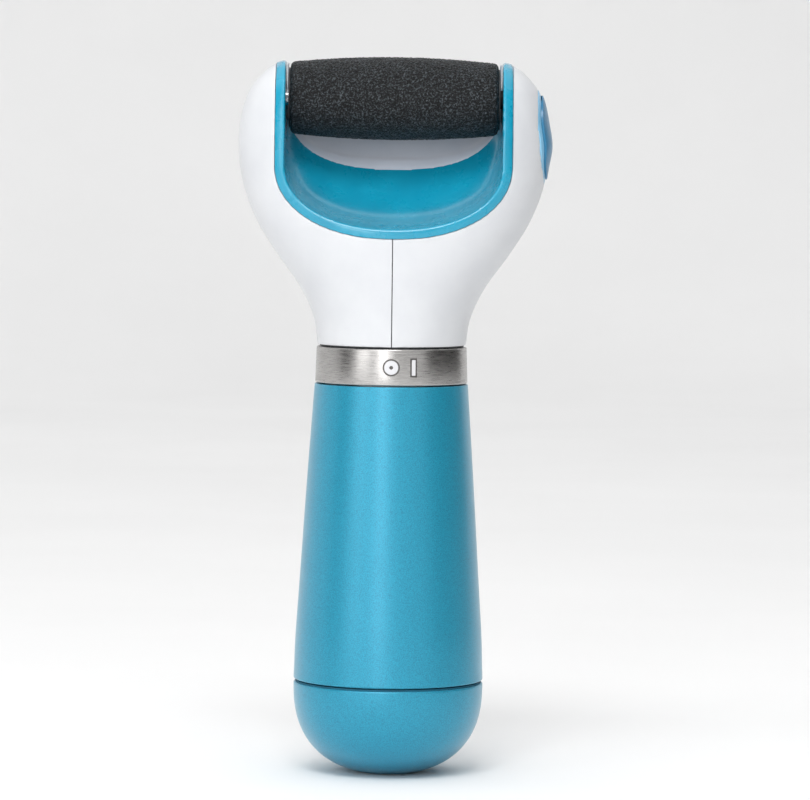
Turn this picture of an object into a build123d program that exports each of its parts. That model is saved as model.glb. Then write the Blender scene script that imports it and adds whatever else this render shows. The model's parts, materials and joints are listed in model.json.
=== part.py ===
from build123d import *
from math import acos, atan2, copysign, cos, degrees, hypot, pi, radians, sin, tan
import os

# Electric callus remover, standing on its battery cap.
# Millimetres. +Z runs up the handle, -Y is the front, +X is the right-hand side seen from the front.
# The origin is the middle of the small flat foot under the battery cap.

os.makedirs("parts", exist_ok=True)

# ---------------------------------------------------------------- driving dimensions
ROLLER_Z = 164.85  # height of the roller's axis; the roller's crown is the top of the object
ROLLER_Y = -2.0
ROLLER_RADIUS = 10.15
ROLLER_END_RADIUS = 8.9
ROLLER_HALF = 25.3

SEAM_Z = 22.5  # joint between handle and battery cap
COLLAR_BOTTOM = 95.6
COLLAR_TOP = 104.4
COLLAR_TOP_RADIUS = 18.35
COLLAR_BOTTOM_RADIUS = 18.7
SWITCH_ANGLE = 17.0  # turn of the collar from off to on
HANDLE_WALL = 1.75
HEAD_WALL = 1.7
MOVING_GAP = 0.3
FIT = 0.03  # radial clearance of shafts and pins in their bores

# (height, half width, half depth) of the head, from the neck to the tips of the arms
HEAD_STATIONS = (
    (104.9, 18.1, 18.1),
    (110.9, 19.0, 18.5),
    (118.7, 22.5, 19.2),
    (126.5, 28.0, 19.9),
    (134.4, 33.0, 20.4),
    (142.2, 36.2, 20.7),
    (150.0, 37.7, 20.6),
    (157.8, 37.7, 20.0),
    (163.7, 36.5, 19.0),
    (167.6, 34.8, 17.9),
    (170.6, 32.3, 16.7),
    (172.6, 29.9, 15.6),
    (173.8, 27.4, 14.8),
)
HEAD_FOOT = HEAD_STATIONS[0][0]
HEAD_TOP = HEAD_STATIONS[-1][0]

# (depth position, floor height, height where the sides stand upright, roundness) of the bay
BAY_HALF = 26.3
RIM_WIDTH = 2.4
BAY_STATIONS = (
    (-26.0, 132.8, 148.0, 2.2),
    (-19.5, 133.4, 148.0, 2.2),
    (-12.0, 134.9, 149.5, 2.2),
    (-5.0, 138.5, 153.0, 2.3),
    (0.0, 142.9, 158.0, 2.4),
    (4.0, 147.7, 164.5, 2.5),
    (8.0, 154.2, 168.0, 2.6),
    (10.6, 159.8, 170.0, 2.8),
    (13.6, 163.6, 171.0, 3.0),
    (18.0, 165.0, 171.0, 3.2),
    (26.0, 165.4, 171.0, 3.2),
)
GUARD_FRONT = 4.0  # depth position of the guard's lower lip

# gears: all shafts lie along X
MODULE = 0.5
PRESSURE_ANGLE = 25.0
MOTOR_TEETH = 14
LAYSHAFT_TEETH = 26
ARM_PINION_TEETH = 10
IDLER_TEETH = 38
DRIVE_TEETH = 14
MOTOR_Y = 6.0
MOTOR_Z = 131.0
LAYSHAFT_LEAN = 14.0  # degrees from upright, motor axis to layshaft axis
STAGE_ONE_X = (-26.0, -24.4)
STAGE_TWO_X = (-30.9, -29.0)

# batteries
CELL_RADIUS = 7.1
CELL_LENGTH = 49.2
CELL_PITCH = 7.3
CELL_BOTTOM = 26.2
CONTACT_PLATE_TOP = 20.2

# release button
BUTTON_Z = 155.8
LEVER_X = 31.05
LEVER_PIVOT_Z = 160.4
LEVER_HALF_THICKNESS = 0.35
STEM_Y = -0.5
STEM_Z = 156.0
SPRING_Z = 150.6


# ---------------------------------------------------------------- helpers
def tube(radius, bore, bottom, top):
    ring = Circle(radius) - Circle(bore)
    return Pos(0, 0, bottom) * extrude(ring, top - bottom)


def disc(radius, bottom, top):
    return Pos(0, 0, bottom) * extrude(Circle(radius), top - bottom)


def rod(radius, start_x, end_x, y, z):
    """Round bar along X."""
    plane = Plane(origin=(start_x, y, z), x_dir=(0, 1, 0), z_dir=(1, 0, 0))
    return extrude(plane * Circle(radius), end_x - start_x)


def block(x, y, z):
    """Box from three (low, high) pairs."""
    size = (x[1] - x[0], y[1] - y[0], z[1] - z[0])
    centre = ((x[0] + x[1]) / 2, (y[0] + y[1]) / 2, (z[0] + z[1]) / 2)
    return Pos(*centre) * Box(*size)


def superellipse_point(half_a, half_b, power, angle):
    a = copysign(abs(cos(angle)) ** (2 / power), cos(angle)) * half_a
    b = copysign(abs(sin(angle)) ** (2 / power), sin(angle)) * half_b
    return a, b


def closed_superellipse(half_x, half_y, power, count=24):
    points = [superellipse_point(half_x, half_y, power, 2 * pi * (i + 0.5) / count) for i in range(count)]
    return make_face(Spline(*points, periodic=True))


def around_x(profile):
    """Turn a profile drawn as (x, radius) about the X axis through the origin."""
    return revolve(profile, Axis.X)


def around_z(profile):
    """Turn a profile drawn in XZ as (radius, height) about the Z axis."""
    return revolve(Plane.XZ * profile, Axis.Z)


def one_solid(shape):
    """The largest solid of a result, dropping slivers left by a cut."""
    return max(shape.solids(), key=lambda solid: solid.volume)


NODES = {}


def keep(name, shape):
    NODES[name] = shape


# ---------------------------------------------------------------- head
def head_body(inset, top_drop):
    sections = []
    for height, half_width, half_depth in HEAD_STATIONS:
        rise = (height - HEAD_FOOT) / (HEAD_TOP - HEAD_FOOT)
        power = 2.0 + 0.4 * min(1.0, 3 * rise)
        face = closed_superellipse(half_width - inset, half_depth - inset, power)
        sections.append(Pos(0, 0, height - top_drop * rise**3) * face)
    return loft(sections)


def bay_body(grow):
    """Hollow between the arms; grow widens it to the outside of the liner."""
    sections = []
    top = HEAD_TOP + 12
    half = BAY_HALF + grow
    for depth, floor, side, power in BAY_STATIONS:
        low = floor - grow
        count = 14
        points = []
        for i in range(count + 1):
            a, b = superellipse_point(half, side - low, power, pi + pi * i / count)
            points.append((a, side + b))
        bottom = Spline(*points)
        sides = Polyline((half, side), (half, top), (-half, top), (-half, side))
        face = make_face(bottom + sides)
        sections.append(Plane.XZ.offset(-depth) * face)
    return loft(sections)


HEAD_OUTER = head_body(0, 0)
HEAD_INNER = head_body(HEAD_WALL, HEAD_WALL)
HEAD_ROOM = head_body(HEAD_WALL + MOVING_GAP, HEAD_WALL + 2 * MOVING_GAP)
BAY_INNER = bay_body(0)
BAY_OUTER = bay_body(RIM_WIDTH)


def button_prism(grow, start_x, end_x):
    outline = Plane.YZ * closed_superellipse(8.0 + grow, 10.2 + grow, 2.2)
    return Pos(start_x, 0, BUTTON_Z) * extrude(outline, end_x - start_x)


def make_head():
    neck = disc(16.4, HEAD_FOOT - 1, HEAD_FOOT + 3)
    shell = HEAD_OUTER - HEAD_INNER - BAY_OUTER - neck
    joint_gap = 0.03
    half_space = block((joint_gap / 2, 60), (-40, 40), (90, 190))
    opening = button_prism(1.4, 30, 45)
    pin_pocket = rod(2.3, 30, 34.2, ROLLER_Y, ROLLER_Z)
    keep("head_shell_right", one_solid((shell & half_space) - opening - pin_pocket))
    left = shell & mirror(half_space, Plane.YZ)
    left = left - gear_pocket(STAGE_TWO_X, IDLER_TEETH, IDLER_AXIS)
    left = left - gear_pocket(STAGE_ONE_X, MOTOR_TEETH, MOTOR_AXIS)
    keep("head_shell_left", one_solid(left))

    band = (BAY_OUTER - BAY_INNER) & HEAD_OUTER
    guard_zone = block((-BAY_HALF + 0.1, BAY_HALF - 0.1), (GUARD_FRONT, 40), (130, 190))
    guard = one_solid(band & guard_zone)
    liner = one_solid(band - guard_zone)
    spindle_hole = rod(4.2, -29.5, -25.5, ROLLER_Y, ROLLER_Z)
    pin_hole = rod(4.2, 25.5, 29.5, ROLLER_Y, ROLLER_Z)
    keep("bay_liner", liner - spindle_hole - pin_hole)
    keep("rear_guard", guard)
    keep("neck_seal", tube(17.6, 16.45, COLLAR_TOP + 0.2, HEAD_FOOT))


# ---------------------------------------------------------------- handle, cap and collar
def handle_line(wall, bottom, top):
    """Side of the handle as (radius, height), narrowing upwards."""
    top_radius = 18.75 - wall
    return Spline(
        (23.2 - wall, bottom),
        (22.15 - wall, 44.0),
        (20.4 - wall, 71.5),
        (top_radius, top),
        tangents=[(0, 1), (-0.07, 1)],
    )


def dome_line(half_width, half_height, centre_z, count=12):
    points = []
    for i in range(count + 1):
        a, b = superellipse_point(half_width, half_height, 2.39, pi / 2 * i / count)
        points.append((a, centre_z - b))
    return Spline(*points)


def make_handle():
    bottom = SEAM_Z + 0.35
    top = COLLAR_BOTTOM - MOVING_GAP
    outside = handle_line(0, bottom, top)
    inside = handle_line(HANDLE_WALL, bottom, top)
    ends = [Line(inside @ 0, outside @ 0), Line(inside @ 1, outside @ 1)]
    keep("handle_sleeve", around_z(make_face(Curve() + [outside, inside] + ends)))


def make_cap():
    top = SEAM_Z - 0.35
    centre = 21.5
    half_height = centre + 0.43
    wall = 2.0
    outside = dome_line(23.2, half_height, centre)
    inside = dome_line(23.2 - wall, half_height - wall, centre)
    solid_outside = make_face(
        Curve() + [outside, Line((23.2, centre), (23.2, top)), Polyline((23.2, top), (0, top), outside @ 1)]
    )
    hollow = make_face(
        Curve()
        + [
            inside,
            Line((23.2 - wall, centre), (23.2 - wall, top + 1)),
            Polyline((23.2 - wall, top + 1), (0, top + 1), inside @ 1),
        ]
    )
    shell = around_z(solid_outside) - around_z(hollow)
    shell = shell - block((-30, 30), (-30, 30), (-5, 0))
    spigot = tube(21.0, 19.4, SEAM_Z - 4, SEAM_Z + 2.6)
    bond = tube(21.4, 19.4, SEAM_Z - 4, SEAM_Z - 2.4)
    posts = [Pos(x, y, 0) * disc(1.6, 0.5, 19.0) for x in (-9, 9) for y in (-9, 9)]
    cap = shell + spigot + bond
    for post in posts:
        cap = cap + (post & around_z(hollow))
    keep("battery_cap", one_solid(cap))
    keep("cap_seal", tube(22.75, 21.02, SEAM_Z - 0.35, SEAM_Z + 0.05))
    keep("cap_contact_plate", disc(18.6, 19.0, CONTACT_PLATE_TOP))


def coil(radius, wire, length, turns):
    """Round-wire spring standing on the origin along Z."""
    height = length - 2 * wire
    path = Helix(pitch=height / turns, height=height, radius=radius)
    section = Plane(origin=path @ 0, z_dir=path % 0) * Circle(wire)
    return Pos(0, 0, wire) * one_solid(sweep(section, path=path, is_frenet=True))


def make_springs():
    length = CELL_BOTTOM - CONTACT_PLATE_TOP
    spring = coil(3.4, 0.35, length, 4)
    places = [(x, y) for x in (-CELL_PITCH, CELL_PITCH) for y in (-CELL_PITCH, CELL_PITCH)]
    springs = [Pos(x, y, CONTACT_PLATE_TOP) * spring for x, y in places]
    keep("cap_springs", Compound(children=springs))


def make_collar():
    skirt_bottom = COLLAR_BOTTOM - 2.6
    bore = 15.8
    ring = make_face(
        Polyline(
            (bore, COLLAR_BOTTOM),
            (COLLAR_BOTTOM_RADIUS, COLLAR_BOTTOM),
            (COLLAR_TOP_RADIUS, COLLAR_TOP),
            (bore, COLLAR_TOP),
            close=True,
        )
    )
    collar = around_z(ring) + tube(16.6, bore, skirt_bottom, COLLAR_BOTTOM)
    mark_depth = 0.3
    mark_middle = (COLLAR_TOP + COLLAR_BOTTOM) / 2
    middle_radius = (COLLAR_TOP_RADIUS + COLLAR_BOTTOM_RADIUS) / 2
    skin = tube(middle_radius + 0.08, middle_radius - mark_depth, COLLAR_BOTTOM, COLLAR_TOP)
    front = Plane.XZ.offset(15) * Pos(0, mark_middle)
    groove = 0.4
    turn = Rot(0, 0, SWITCH_ANGLE)
    off_ring = extrude(front * (Circle(1.7) - Circle(0.45)), 6)
    on_bar = turn * extrude(front * Rectangle(0.9, 3.8), 6)
    keep("collar_marks", Compound(children=[one_solid(off_ring & skin), one_solid(on_bar & skin)]))
    off_seat = extrude(front * Circle(1.7 + groove), 6)
    on_seat = turn * extrude(front * Rectangle(0.9 + 2 * groove, 3.8 + 2 * groove), 6)
    outside = tube(middle_radius + 2, middle_radius - mark_depth, COLLAR_BOTTOM, COLLAR_TOP)
    keep("switch_collar", one_solid(collar - (off_seat & outside) - (on_seat & outside)))
    finger = block((-1.3, 1.3), (11.8, 16.2), (93.1, 94.5)) - disc(11.0, 90, 96)
    wiper = finger - (around_z(ring) + tube(16.6, bore, skirt_bottom, COLLAR_BOTTOM))
    keep("collar_wiper", one_solid(wiper))


# ---------------------------------------------------------------- frame inside
def make_frame():
    flange = tube(16.6, 10.5, 86.4, 88.4)
    wall = tube(15.5, 14.0, 88.4, 108.6)
    collar_stop = tube(16.3, 14.0, 105.2, 107.4)
    window_half = SWITCH_ANGLE + 10
    window = Pos(0, 0, 92.8) * extrude(
        make_face(
            Polyline(
                (0, 0),
                (30 * sin(radians(-window_half)), 30 * cos(radians(window_half))),
                (30 * sin(radians(window_half)), 30 * cos(radians(window_half))),
                close=True,
            )
        ),
        2.4,
    )
    bridge = block((-15.4, 15.4), (4, 11), (107.2, 109.4)) & disc(15.4, 105, 112)
    frame = flange + wall + collar_stop + bridge - window
    keep("inner_frame", one_solid(frame))

    motor_room = rod(10.35, -14.1, 40, MOTOR_Y, MOTOR_Z)
    plate = block((-15.6, -14.1), (-2.5, 13.5), (112.0, 138.0))
    foot = block((-15.6, 16.0), (4.0, 11.0), (109.4, 112.0))
    saddle = block((-2.0, 12.0), (1.0, 12.0), (112.0, 125.0)) - motor_room
    mount = (plate + foot + saddle) & HEAD_ROOM
    mount = mount - BAY_OUTER - rod(3.4, -20, -10, MOTOR_Y, MOTOR_Z)
    for side in (-1, 1):
        mount = mount - rod(1.0, -20, -10, MOTOR_Y, MOTOR_Z + side * SCREW_SPREAD)
    keep("motor_mount", one_solid(mount))


# ---------------------------------------------------------------- motor
SCREW_SPREAD = 7.2
MOTOR_RADIUS = 10.2
MOTOR_FLAT = 7.7
MOTOR_LEFT = -14.0
MOTOR_RIGHT = 15.5


def motor_section(radius, flat):
    return Circle(radius) & Rectangle(2 * flat, 4 * radius)


def along_x(face, start_x, end_x, y, z):
    plane = Plane(origin=(start_x, y, z), x_dir=(0, 1, 0), z_dir=(1, 0, 0))
    return extrude(plane * face, end_x - start_x)


def make_motor():
    outer = along_x(motor_section(MOTOR_RADIUS, MOTOR_FLAT), MOTOR_LEFT, MOTOR_RIGHT, MOTOR_Y, MOTOR_Z)
    hollow = motor_section(MOTOR_RADIUS - 0.7, MOTOR_FLAT - 0.7)
    inner = along_x(hollow, MOTOR_LEFT + 0.8, MOTOR_RIGHT + 1, MOTOR_Y, MOTOR_Z)
    nose = rod(3.2, MOTOR_LEFT - 1.4, MOTOR_LEFT, MOTOR_Y, MOTOR_Z)
    can = outer - inner + nose - rod(1.0 + FIT, -30, 0, MOTOR_Y, MOTOR_Z)
    for side in (-1, 1):
        can = can - rod(1.0, -20, -10, MOTOR_Y, MOTOR_Z + side * SCREW_SPREAD)
    keep("motor_can", one_solid(can))
    plug = motor_section(MOTOR_RADIUS - 0.75, MOTOR_FLAT - 0.75)
    bell = along_x(plug, MOTOR_RIGHT - 2.0, MOTOR_RIGHT + 1.2, MOTOR_Y, MOTOR_Z)
    bell = bell + rod(2.6, MOTOR_RIGHT + 1.2, MOTOR_RIGHT + 2.4, MOTOR_Y, MOTOR_Z)
    keep("motor_end_bell", one_solid(bell))
    lug = block((MOTOR_RIGHT + 1.2, MOTOR_RIGHT + 3.6), (-1.2, 1.2), (-0.2, 0.2))
    lugs = [Pos(0, MOTOR_Y, MOTOR_Z + side * 6.5) * lug for side in (-1, 1)]
    keep("motor_terminals", Compound(children=lugs))
    shaft = rod(1.0, -26.4, MOTOR_RIGHT - 3.0, MOTOR_Y, MOTOR_Z)
    keep("motor_shaft", shaft)
    core = rod(6.6, -9.0, 9.0, MOTOR_Y, MOTOR_Z) - rod(1.0, -30, 30, MOTOR_Y, MOTOR_Z)
    slots = [
        Pos(0, MOTOR_Y, MOTOR_Z) * Rot(120 * i, 0, 0) * block((-10, 10), (-0.9, 0.9), (2.6, 8))
        for i in range(3)
    ]
    for slot in slots:
        core = core - slot
    keep("motor_armature", one_solid(core))
    magnets = rod(9.4, -10, 10, MOTOR_Y, MOTOR_Z) - rod(7.0, -11, 11, MOTOR_Y, MOTOR_Z)
    magnets = magnets & block((-10, 10), (MOTOR_Y - 6.9, MOTOR_Y + 6.9), (MOTOR_Z - 12, MOTOR_Z + 12))
    magnets = magnets - block((-11, 11), (MOTOR_Y - 9, MOTOR_Y + 9), (MOTOR_Z - 2.5, MOTOR_Z + 2.5))
    keep("motor_magnets", Compound(children=list(magnets.solids())))
    screws = []
    for side in (-1, 1):
        head = rod(1.8, -16.8, -15.6, MOTOR_Y, MOTOR_Z + side * SCREW_SPREAD)
        shank = rod(0.97, -15.6, -13.2, MOTOR_Y, MOTOR_Z + side * SCREW_SPREAD)
        socket = rod(0.8, -17.0, -16.2, MOTOR_Y, MOTOR_Z + side * SCREW_SPREAD)
        screws.append(one_solid(head + shank - socket))
    keep("motor_screws", Compound(children=screws))


# ---------------------------------------------------------------- gears
def pitch_radius(teeth):
    return MODULE * teeth / 2


def gear_face(teeth, phase):
    """Involute spur gear outline with a tooth centred on the angle phase, in degrees."""
    pitch = pitch_radius(teeth)
    base = pitch * cos(radians(PRESSURE_ANGLE))
    tip = pitch + 0.85 * MODULE
    root = pitch - 1.15 * MODULE
    thinning = 0.07  # taken off each tooth at the pitch circle, which gives the mesh its backlash
    half_tooth = (pi * MODULE / 2 - thinning) / 2 / pitch
    flare = tan(radians(PRESSURE_ANGLE)) - radians(PRESSURE_ANGLE)
    flank = []
    start = max(base, root)
    for i in range(4):
        radius = start + (tip - start) * i / 3
        pressure = acos(min(1.0, base / radius))
        flank.append((radius, half_tooth + flare - (tan(pressure) - pressure)))
    if root < base:
        flank.insert(0, (root, flank[0][1]))
    points = []
    for tooth in range(teeth):
        middle = radians(phase) + 2 * pi * tooth / teeth
        for radius, half in flank:
            points.append((radius * cos(middle - half), radius * sin(middle - half)))
        for radius, half in reversed(flank):
            points.append((radius * cos(middle + half), radius * sin(middle + half)))
    return make_face(Polyline(*points, close=True))


def meshing_phase(own_teeth, partner_teeth, partner_phase, direction):
    """Phase of a gear whose centre lies from its partner's centre towards the angle direction."""
    lag = (direction - partner_phase) * partner_teeth / own_teeth
    return direction + 180 + 180 / own_teeth + lag


def polar(centre, radius, angle):
    return centre[0] + radius * cos(radians(angle)), centre[1] + radius * sin(radians(angle))


MOTOR_AXIS = (MOTOR_Y, MOTOR_Z)
LAYSHAFT_DIRECTION = 90 + LAYSHAFT_LEAN
LAYSHAFT_AXIS = polar(
    MOTOR_AXIS, pitch_radius(MOTOR_TEETH) + pitch_radius(LAYSHAFT_TEETH), LAYSHAFT_DIRECTION
)
DRIVE_AXIS = (ROLLER_Y, ROLLER_Z)


def idler_place():
    """Idler centre at both mesh distances, on the rear side of the line between its partners."""
    low = pitch_radius(ARM_PINION_TEETH) + pitch_radius(IDLER_TEETH)
    high = pitch_radius(IDLER_TEETH) + pitch_radius(DRIVE_TEETH)
    dy = DRIVE_AXIS[0] - LAYSHAFT_AXIS[0]
    dz = DRIVE_AXIS[1] - LAYSHAFT_AXIS[1]
    span = hypot(dy, dz)
    along = (low**2 - high**2 + span**2) / (2 * span)
    bend = degrees(acos(along / low))
    return polar(LAYSHAFT_AXIS, low, degrees(atan2(dz, dy)) - bend)


IDLER_AXIS = idler_place()


def direction_between(start, end):
    return degrees(atan2(end[1] - start[1], end[0] - start[0]))


def gear_pocket(stage, teeth, axis):
    """Room for a gear, cut out of the inside of a shell."""
    clearance = 0.35
    radius = pitch_radius(teeth) + 0.85 * MODULE + clearance
    return rod(radius, stage[0] - clearance, stage[1] + clearance, *axis)


def make_gears():
    motor_phase = 0.0
    layshaft_phase = meshing_phase(LAYSHAFT_TEETH, MOTOR_TEETH, motor_phase, LAYSHAFT_DIRECTION)
    arm_phase = 0.0
    idler_phase = meshing_phase(
        IDLER_TEETH, ARM_PINION_TEETH, arm_phase, direction_between(LAYSHAFT_AXIS, IDLER_AXIS)
    )
    drive_phase = meshing_phase(
        DRIVE_TEETH, IDLER_TEETH, idler_phase, direction_between(IDLER_AXIS, DRIVE_AXIS)
    )

    pinion = along_x(gear_face(MOTOR_TEETH, motor_phase), *STAGE_ONE_X, *MOTOR_AXIS)
    keep("motor_pinion", one_solid(pinion - rod(1.0, -30, -20, *MOTOR_AXIS)))

    wheel = along_x(gear_face(LAYSHAFT_TEETH, layshaft_phase), *STAGE_ONE_X, *LAYSHAFT_AXIS)
    keep("layshaft_gear", one_solid(wheel - rod(1.2, -30, -20, *LAYSHAFT_AXIS)))
    keep("layshaft", rod(1.2, STAGE_TWO_X[0] - 0.2, -21.6, *LAYSHAFT_AXIS))
    arm_pinion = along_x(gear_face(ARM_PINION_TEETH, arm_phase), *STAGE_TWO_X, *LAYSHAFT_AXIS)
    keep("arm_pinion", one_solid(arm_pinion - rod(1.2, -35, -20, *LAYSHAFT_AXIS)))

    idler = along_x(gear_face(IDLER_TEETH, idler_phase), *STAGE_TWO_X, *IDLER_AXIS)
    for i in range(6):
        window = polar(IDLER_AXIS, 5.6, 60 * i)
        idler = idler - rod(1.9, -35, -25, *window)
    keep("idler_gear", one_solid(idler - rod(1.3 + FIT, -35, -20, *IDLER_AXIS)))
    keep("idler_axle", rod(1.3, -32.2, -28.72, *IDLER_AXIS))

    drive = along_x(gear_face(DRIVE_TEETH, drive_phase), *STAGE_TWO_X, *DRIVE_AXIS)
    keep("drive_gear", one_solid(drive - rod(2.0, -35, -20, *DRIVE_AXIS)))


def make_gear_supports():
    left_plate = block((-28.6, -26.4), (-1.5, 13.0), (136.0, 145.2))
    right_plate = block((-24.0, -22.4), (-1.5, 13.0), (134.5, 145.2))
    web = block((-28.6, -15.6), (11.4, 13.0), (134.5, 144.5))
    bracket = (left_plate + right_plate + web) & HEAD_ROOM
    bracket = bracket - BAY_OUTER - rod(2.2, -35, -20, *LAYSHAFT_AXIS)
    bracket = bracket - rod(1.4, -30, -20, *MOTOR_AXIS)
    keep("gear_bracket", one_solid(bracket))
    bushes = []
    for start, end in ((-28.6, -26.4), (-24.0, -22.4)):
        bush = rod(2.2, start, end, *LAYSHAFT_AXIS) - rod(1.2 + FIT, -35, -20, *LAYSHAFT_AXIS)
        bushes.append(one_solid(bush))
    keep("layshaft_bushes", Compound(children=bushes))

    plate = block((-32.2, -31.3), (-9.0, 7.0), (141.5, 168.5)) & HEAD_ROOM
    posts = rod(1.3, -31.3, -25, 6.6, 163.9) + rod(1.3, -31.3, -25, -8.6, 147.0)
    plate = plate + (posts & HEAD_ROOM) - BAY_OUTER
    plate = plate - rod(1.3, -40, -20, *IDLER_AXIS) - rod(2.0 + FIT, -40, -20, *DRIVE_AXIS)
    keep("arm_plate", one_solid(plate))


# ---------------------------------------------------------------- roller
def make_roller():
    place = Pos(0, ROLLER_Y, ROLLER_Z)
    end = ROLLER_HALF
    shoulder = 1.0
    bore = 6.6
    crown = ThreePointArc(
        (-end + shoulder, ROLLER_END_RADIUS), (0, ROLLER_RADIUS), (end - shoulder, ROLLER_END_RADIUS)
    )
    outline = (
        Curve()
        + [
            crown,
            RadiusArc((end - shoulder, ROLLER_END_RADIUS), (end, ROLLER_END_RADIUS - 1.2), 1.3),
            Polyline(
                (end, ROLLER_END_RADIUS - 1.2), (end, bore), (-end, bore), (-end, ROLLER_END_RADIUS - 1.2)
            ),
            RadiusArc((-end, ROLLER_END_RADIUS - 1.2), (-end + shoulder, ROLLER_END_RADIUS), 1.3),
        ]
    )
    keep("roller_sleeve", place * around_x(make_face(outline)))
    plug = 6.0
    core = rod(bore, -end + plug, end - plug, 0, 0) - rod(5.2, -30, 30, 0, 0)
    keep("roller_core", place * one_solid(core))

    hub = rod(bore, -end, -end + plug, 0, 0) + rod(7.3, -end - 0.35, -end, 0, 0)
    socket = along_x(RegularPolygon(3.0, 6), -end - 1, -end + 4.2, 0, 0)
    keep("roller_end_left", place * one_solid(hub - socket))
    tang = along_x(RegularPolygon(2.9, 6), -25.7, -21.3, 0, 0)
    dog = rod(5.2, -26.2, -25.75, 0, 0) + tang
    keep("drive_dog", place * one_solid(dog - rod(2.0, -30, -24, 0, 0)))
    keep("drive_spindle", place * rod(2.0, -32.0, -24, 0, 0))
    bush = rod(4.2, -28.7, -26.35, 0, 0) - rod(2.0 + FIT, -30, -20, 0, 0)
    keep("spindle_bush", place * one_solid(bush))

    hub = rod(bore, end - plug, end, 0, 0) + rod(7.3, end, end + 0.35, 0, 0)
    keep("roller_end_right", place * one_solid(hub - rod(3.4, end - 2.4, end + 1, 0, 0)))
    bearing = rod(3.4, end - 2.4, end - 0.1, 0, 0) - rod(2.25 + FIT, end - 2.0, end + 1, 0, 0)
    keep("roller_bearing", place * one_solid(bearing))


# ---------------------------------------------------------------- release button
def make_release():
    place = Pos(0, ROLLER_Y, ROLLER_Z)
    flange_x = LEVER_X + LEVER_HALF_THICKNESS + MOVING_GAP
    pin = rod(2.25, 24.3, 28.9, 0, 0) + rod(1.2, 28.9, flange_x, 0, 0)
    pin = pin + rod(1.9, flange_x, flange_x + 0.5, 0, 0)
    keep("retaining_pin", place * one_solid(pin))
    guide = rod(4.2, 26.35, 28.7, 0, 0) - rod(2.25 + FIT, 20, 40, 0, 0)
    keep("pin_guide", place * one_solid(guide))

    skin = Pos(0.45, 0, 0) * HEAD_OUTER
    cap = button_prism(0, 33.6, 45) & skin
    cap = cap - (button_prism(-1.5, 32.0, 45) & (Pos(-1.2, 0, 0) * HEAD_OUTER))
    # room for the lever's head and the pin's flange, which come outwards as the button goes in
    head_room = block((30, 35.5), (-5.5, 2.5), (161.4, 168))
    flange_room = rod(2.3, 30, 35.9, ROLLER_Y, ROLLER_Z)
    cap = cap - head_room - flange_room
    stem = rod(0.8, LEVER_X + LEVER_HALF_THICKNESS + 0.4, 37.0, STEM_Y, STEM_Z)
    spring_post = rod(1.2, 33.0, 37.0, STEM_Y, SPRING_Z)
    keep("release_button", one_solid(cap + ((stem + spring_post) & skin)))
    frame = (button_prism(1.35, 33.5, 45) - button_prism(0.3, 30, 46)) & HEAD_OUTER
    keep("button_bezel", one_solid(frame - rod(2.3, 30, 34.2, ROLLER_Y, ROLLER_Z)))
    keep("button_spring", Pos(29.3, STEM_Y, SPRING_Z) * Rot(0, 90, 0) * coil(1.85, 0.25, 5.8, 4))

    low = STEM_Z - LEVER_PIVOT_Z - 0.8
    high = ROLLER_Z - LEVER_PIVOT_Z
    thick = LEVER_HALF_THICKNESS
    prong = 1.6
    arm = block((-thick, thick), (-1.4, 1.4), (low, 1.6))
    head = block((-thick, thick), (-4.6, 2.6), (1.5, high + 0.5))
    slot = block((-2, 2), (ROLLER_Y - STEM_Y - prong, ROLLER_Y - STEM_Y + prong), (high - prong, high + 3))
    hub = Rot(90, 0, 0) * Pos(0, 0, -1.4) * extrude(Circle(1.4), 2.8)
    bore = Rot(90, 0, 0) * Pos(0, 0, -6) * extrude(Circle(0.8 + FIT), 12)
    lever = arm + (head - slot) + hub - bore
    pivot = Pos(LEVER_X, STEM_Y, LEVER_PIVOT_Z)
    keep("latch_lever", pivot * one_solid(lever))
    axle = Rot(90, 0, 0) * Pos(0, 0, -4.0) * extrude(Circle(0.8), 8.0)
    keep("lever_axle", pivot * axle)
    ears = block((28.0, LEVER_X + 1.3), (-4.5, -3.2), (158.6, 161.4))
    ears = ears + block((28.0, LEVER_X + 1.3), (2.2, 3.5), (158.6, 161.4))
    ears = ears + block((28.0, 29.3), (-4.5, 3.5), (158.6, 160.0))
    ears = ears - BAY_OUTER - pivot * axle
    keep("lever_bracket", one_solid(ears))


# ---------------------------------------------------------------- batteries and switch
def make_batteries():
    places = [(x, y) for x in (-CELL_PITCH, CELL_PITCH) for y in (-CELL_PITCH, CELL_PITCH)]
    top = CELL_BOTTOM + CELL_LENGTH
    nub = 1.0
    cells = []
    for x, y in places:
        body = fillet(disc(CELL_RADIUS, CELL_BOTTOM, top).edges(), 0.5)
        cells.append(Pos(x, y, 0) * one_solid(body + disc(2.7, top - 0.2, top + nub)))
    keep("battery_cells", Compound(children=cells))
    plate_bottom = top + nub + 0.5
    contacts = [
        block((side * CELL_PITCH - 3, side * CELL_PITCH + 3), (-CELL_PITCH - 3, CELL_PITCH + 3),
              (plate_bottom - 0.5, plate_bottom))
        for side in (-1, 1)
    ]
    keep("top_contacts", Compound(children=contacts))
    carrier = disc(18.0, plate_bottom, plate_bottom + 1.8)
    carrier = carrier + disc(2.6, CELL_BOTTOM, plate_bottom)
    for side in (-1, 1):
        ribs = block((side * 15.8 - 1.6, side * 15.8 + 1.6), (-1.7, 1.7), (30, plate_bottom))
        carrier = carrier + ribs + Rot(0, 0, 90) * ribs
    carrier = carrier + tube(18.0, 17.5, 70, plate_bottom)
    for cell in places:
        carrier = carrier - Pos(*cell, 0) * disc(CELL_RADIUS + 0.15, 20, plate_bottom)
    keep("battery_carrier", one_solid(carrier))


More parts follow.
